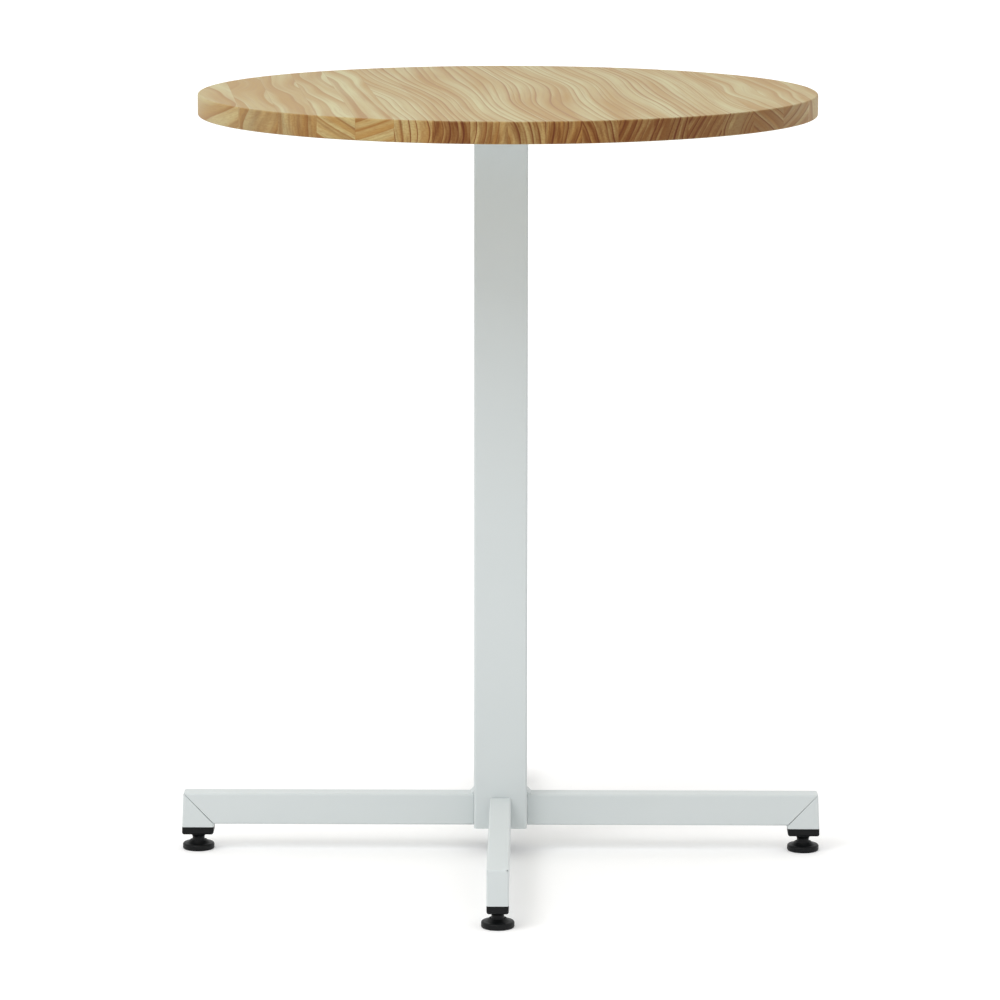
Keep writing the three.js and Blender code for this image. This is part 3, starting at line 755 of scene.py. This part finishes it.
def dull_black(name, tone, roughness):
    """Black with a fine grain and faint scuffs, for plastic and for coated steel."""
    finish, wire = new_finish(name)
    place = wire.node("ShaderNodeTexCoord", out="Object")
    spark = noise(wire, place, spark_scale, detail=2)
    scuff = noise(wire, place, scuff_scale, detail=4)
    scuffed = tuple(scuff_gain * channel for channel in tone)
    surfaced(wire, {
        "Base Color": wire.mixed(scuff, (*tone, 1), (*scuffed, 1)),
        "Roughness": roughness + 0.12 * spark + 0.10 * scuff,
        "Specular IOR Level": 0.18,
        "Normal": bumped(wire, spark, strength=0.15),
    })
    return finish


def plug_ring(inset, height):
    """The tube's outline at a height, drawn in by an inset and leaning with the folded stub."""
    corner = max(leg_corner - inset, least_corner)
    outline = rounded_outline(leg_half_height - inset, leg_half_width - inset, corner, steps=5)
    return [(x + splay * (leg_low.z - height), y, height) for x, y in outline]


black_plastic = dull_black("moulded_plastic", plug_tone, plug_roughness)
flange_top = plug_low.z + flange_height
body_inset = fin_inset + fin_depth
plug_rings = [plug_ring(flange_round - reach, height)
              for reach, height in quarter_round(0, plug_low.z + flange_round, flange_round, -90, 0, steps=6)]
plug_rings += [plug_ring(0, flange_top), plug_ring(body_inset, flange_top)]
for fin in range(1, fin_count + 1):
    fin_top = flange_top + fin * fin_pitch
    plug_rings += [plug_ring(body_inset, fin_top - fin_foot), plug_ring(fin_inset, fin_top - fin_tip),
                   plug_ring(body_inset, fin_top)]
plug_rings.append(plug_ring(body_inset, plug_high.z))
nut_corner = nut_flats / math.sqrt(3)
boss = nut_corner + plug_wall
cavity = lofted([plug_ring(body_inset + plug_wall, flange_top),
                 plug_ring(body_inset + plug_wall, plug_high.z + overcut)])
boss_post = cylinder(boss, plug_low.z, flange_top + boss_height, segments=32)
pocket = cylinder(nut_corner + nut_clearance, plug_low.z - overcut, plug_low.z + pocket_depth, segments=6)
stem_hole = cylinder(stem_bore, plug_low.z - overcut, plug_high.z + overcut, segments=32)
plug = cut_away(lofted(plug_rings), cut_away(cavity, boss_post), pocket, stem_hole)
at_foot = Matrix.Translation((foot_axis, 0, 0))
for side, facing in sides.items():
    mesh = moved(plug, at_foot, facing)
    fitted(f"plug_{side}", mesh, black_plastic, "frame", "black_plastic", f"leg_plug_{side}")


# Captive nuts
# An M8 hexagon nut with chamfered corners, zinc plated, pressed into the pocket of each plug.
# The stem of the foot screws up through it.
nut_low, nut_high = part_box("foot_nut_right")
nut_chamfer = 0.9 * mm
nut_bore = 4.2 * mm
chamfer_overlap = 0.05 * mm


def foot_ring_tree():
    tree, size = geometry_tree("foot_ring", ("Reach",))
    ring = size["Reach"].node("GeometryNodeMeshCircle", None, {
        "Vertices": len(sides), "Radius": size["Reach"]})
    turn = ring.node("GeometryNodeInputIndex") * (math.pi / 2)
    facing = ring.node("ShaderNodeCombineXYZ", None, {"Z": turn})
    nuts = ring.node("GeometryNodeInstanceOnPoints", None, {
        "Points": ring, "Instance": size["Geometry"], "Rotation": facing})
    close_tree(tree, nuts, size["Finish"])
    return tree


nut = cylinder(nut_corner, nut_low.z, nut_high.z, segments=6)
nut_face = nut_flats / 2
chamfer_reach = nut_corner + chamfer_overlap
chamfer_ring = turned([(nut_face, nut_low.z - overcut), (nut_corner + overcut, nut_low.z - overcut),
                       (nut_corner + overcut, nut_high.z + overcut), (nut_face, nut_high.z + overcut),
                       (nut_face, nut_high.z), (chamfer_reach, nut_high.z - nut_chamfer),
                       (chamfer_reach, nut_low.z + nut_chamfer), (nut_face, nut_low.z),
                       (nut_face, nut_low.z - overcut)], segments=48, capped=False)
nut_hole = cylinder(nut_bore, nut_low.z - overcut, nut_high.z + overcut, segments=32)
nuts = grown(foot_ring_tree(), cut_away(nut, chamfer_ring, nut_hole), {"Reach": foot_axis, "Finish": zinc})
fitted("captive_nuts", nuts, zinc, "frame", "zinc_steel", *(f"foot_nut_{side}" for side in sides))


# Foot stems
# A black coated steel stem for each foot: an M8 thread up into the nut, a collar that meets the plug, a
# waisted neck to turn it by, and a ball that snaps into the pad.
stem_low, stem_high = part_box("foot_stem_right")
ball_radius = 10.9 * mm
ball_centre = 6.3 * mm
neck_radius = 9.3 * mm
waist_radius = 8.6 * mm
neck_foot = ball_centre + math.sqrt(ball_radius ** 2 - neck_radius ** 2)
collar_radius = 11.2 * mm
collar_top = neck_foot + 10.2 * mm
collar_rim = 0.8 * mm
thread_pitch = 1.25 * mm
thread_root = 3.3 * mm
thread_tooth = 0.62 * mm
thread_chamfer = 1 * mm
plain_turns = 3
waist_steps = 6
flare_steps = 8
stem_tone = (0.003, 0.0034, 0.0038)
stem_roughness = 0.28


def thread_tree():
    tree, size = geometry_tree("foot_thread", ("Start", "Length", "Pitch", "Root", "Tooth"))
    spiral = size["Root"].node("GeometryNodeCurveSpiral", None, {
        "Resolution": 24, "Rotations": size["Length"] / size["Pitch"], "Start Radius": size["Root"],
        "End Radius": size["Root"], "Height": size["Length"]})
    section = spiral.node("GeometryNodeCurvePrimitiveCircle", None, {"Resolution": 6, "Radius": size["Tooth"]})
    ridge = spiral.node("GeometryNodeCurveToMesh", None, {
        "Curve": spiral, "Profile Curve": section, "Fill Caps": True})
    rise = spiral.node("ShaderNodeCombineXYZ", None, {"Z": size["Start"]})
    ridge = spiral.node("GeometryNodeTransform", None, {"Geometry": ridge, "Translation": rise})
    joined = spiral.node("GeometryNodeJoinGeometry", None, {0: ridge})
    tree.links.new(size["Geometry"].socket, joined.socket.node.inputs[0])
    close_tree(tree, joined, size["Finish"])
    return tree


black_steel = dull_black("black_coated_steel", stem_tone, stem_roughness)
flat_angle = -math.degrees(math.asin((ball_centre - stem_low.z) / ball_radius))
neck_angle = math.degrees(math.acos(neck_radius / ball_radius))
collar_foot = collar_top - collar_rim
waist_height = (neck_foot + collar_foot) / 2
neck = [(waist_radius + (neck_radius - waist_radius) * (1 - step / waist_steps) ** 2,
         neck_foot + (waist_height - neck_foot) * step / waist_steps) for step in range(1, waist_steps + 1)]
neck += [(waist_radius + (collar_radius - waist_radius) * (step / flare_steps) ** 2,
          waist_height + (collar_foot - waist_height) * step / flare_steps) for step in range(1, flare_steps + 1)]
core = turned([(0, stem_low.z)]
              + quarter_round(0, ball_centre, ball_radius, flat_angle, neck_angle, steps=10) + neck
              + [(collar_radius, collar_top), (thread_root, collar_top),
                 (thread_root, stem_high.z - thread_chamfer), (thread_root - thread_chamfer, stem_high.z),
                 (0, stem_high.z)], segments=48)
stem = grown(thread_tree(), core, {
    "Start": collar_top + thread_pitch, "Length": stem_high.z - collar_top - plain_turns * thread_pitch,
    "Pitch": thread_pitch, "Root": thread_root, "Tooth": thread_tooth, "Finish": black_steel})
for side, facing in sides.items():
    mesh = moved(stem, at_foot, facing)
    fitted(f"stem_{side}", mesh, black_steel, f"stem_{side}", "black_steel", f"foot_stem_{side}")


# Foot pads
# A moulded black plastic pad under each foot: flat below, a round rim, and a shallow cove that rises to the
# mouth of the socket that grips the stem's ball.
pad_low, pad_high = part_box("foot_pad_right")
pad_radius = (pad_high.x - pad_low.x) / 2
pad_rim = 8.8 * mm
pad_edge = 2 * mm
pad_shoulder = 2.6 * mm
pad_floor = 2 * mm
socket_radius = 11.2 * mm
mouth_radius = 10 * mm
mouth_flare = 1.3 * mm
crown_radius = mouth_radius + mouth_flare
crown_width = 0.8 * mm
cove_steps = 10
mouth_angle = math.degrees(math.acos(mouth_radius / socket_radius))
floor_angle = -math.degrees(math.asin((ball_centre - pad_floor) / socket_radius))
shoulder = pad_radius - pad_shoulder
cove = [(shoulder + (crown_radius + crown_width - shoulder) * step / cove_steps,
         pad_rim + (pad_high.z - pad_rim) * (step / cove_steps) ** 2) for step in range(1, cove_steps + 1)]
pad = turned([(0, pad_low.z)] + quarter_round(pad_radius - pad_edge, pad_edge, pad_edge, -90, 0)
             + quarter_round(shoulder, pad_rim - pad_shoulder, pad_shoulder, 0, 90, steps=6) + cove
             + [(crown_radius, pad_high.z)]
             + quarter_round(0, ball_centre, socket_radius, mouth_angle, floor_angle, steps=10)
             + [(0, pad_floor)], segments=72)
for side, facing in sides.items():
    mesh = moved(pad, at_foot, facing)
    fitted(f"pad_{side}", mesh, black_plastic, f"pad_{side}", "black_plastic", f"foot_pad_{side}")


# Studio
# A plain white floor that keeps the contact shadows, with painted light that makes it glow more away from the
# table and washes out the shadows falling farther off, soft light from all round that is stronger from above, and
# two wide soft lamps in front and to the left, one of them high up.
pure_white = (1, 1, 1, 1)
floor_white = (0.9, 0.9, 0.9, 1)
floor_half = 80.0
floor_glow = 0.13
# painted light: the floor glows more between far_start and far_end from the table, washing out the shadows cast
# farther off
far_painted_light = 0.27
far_start = 0.3
far_end = 1.2
world_level = 0.54
world_rise = 0.58
lamp_target = Vector((0, 0, 0.6))
# name, place, width, height and watts of each lamp
lamps = (("front_lamp", (-1.9, -3.0, 3.5), 2.6, 0.9, 22),
         ("high_lamp", (-2.0, -2.0, 4.2), 2.0, 1.2, 40))


def seen_rays(wire):
    """One for rays from the camera, straight or by a reflection or through glass; nought for other light."""
    camera, glossy, through = (wire.node("ShaderNodeLightPath", out=f"Is {kind} Ray")
                               for kind in ("Camera", "Glossy", "Transmission"))
    return wire.math("MINIMUM", camera + glossy + through, 1)


def white_floor():
    finish, wire = new_finish("white_floor")
    seen = seen_rays(wire)
    place = wire.node("ShaderNodeTexCoord", out="Object")
    away = wire.node("ShaderNodeVectorMath", {"operation": "LENGTH"}, {0: place}, out="Value")
    # painted light that rises with distance from the table
    far = wire.math("MINIMUM", wire.math("MAXIMUM", (away - far_start) / (far_end - far_start), 0), 1)
    paper = wire.node("ShaderNodeBsdfDiffuse", None, {"Color": floor_white})
    glow = wire.node("ShaderNodeEmission", None, {
        "Color": pure_white, "Strength": seen * (floor_glow + far * far_painted_light)})
    both = wire.node("ShaderNodeAddShader", None, {0: paper, 1: glow})
    wire.node("ShaderNodeOutputMaterial", None, {"Surface": both})
    return finish


floor_mesh = bpy.data.meshes.new("floor")
floor_mesh.from_pydata([(-floor_half, -floor_half, 0), (floor_half, -floor_half, 0),
                        (floor_half, floor_half, 0), (-floor_half, floor_half, 0)], [], [(0, 1, 2, 3)])
floor_mesh.materials.append(white_floor())
floor = bpy.data.objects.new("floor", floor_mesh)
bpy.context.scene.collection.objects.link(floor)

world = bpy.data.worlds.new("studio")
world.use_nodes = True
world.node_tree.nodes.clear()
sky = Wire(world.node_tree)
direction = sky.node("ShaderNodeTexCoord", out="Generated")
from_above = sky.math("MAXIMUM", sky.node("ShaderNodeSeparateXYZ", None, {0: direction}, out="Z"), 0)
level = world_level + from_above * world_rise
seen = seen_rays(sky)
strength = level * (1 - seen) + seen
backdrop = sky.node("ShaderNodeBackground", None, {"Color": pure_white, "Strength": strength})
sky.node("ShaderNodeOutputWorld", None, {"Surface": backdrop})
bpy.context.scene.world = world

for lamp_name, lamp_place, lamp_width, lamp_height, lamp_watts in lamps:
    light = bpy.data.lights.new(lamp_name, "AREA")
    light.shape = "RECTANGLE"
    light.size = lamp_width
    light.size_y = lamp_height
    light.energy = lamp_watts
    lamp = bpy.data.objects.new(lamp_name, light)
    lamp.location = lamp_place
    lamp.rotation_euler = (lamp_target - lamp.location).to_track_quat("-Z", "Y").to_euler()
    bpy.context.scene.collection.objects.link(lamp)


# Camera
# The photograph's view: a long lens in front of the table, a little above the top and looking down.
view_turn = 0.0088
view_pitch = 0.1733
view_roll = 0.0011
view_place = (-0.0014, -6.7737, 1.6907)
lens_length = 175.80
far_clip = 500
camera = bpy.data.objects.new("camera", bpy.data.cameras.new("camera"))
camera.data.sensor_width = 36
camera.data.lens = lens_length
camera.data.clip_end = far_clip
camera.matrix_world = (Matrix.Rotation(view_turn, 4, "Z") @ Matrix.Translation(view_place)
                       @ Matrix.Rotation(math.pi / 2 - view_pitch, 4, "X") @ Matrix.Rotation(view_roll, 4, "Z"))
bpy.context.scene.collection.objects.link(camera)
bpy.context.scene.camera = camera
bpy.context.scene.view_settings.view_transform = "Standard"
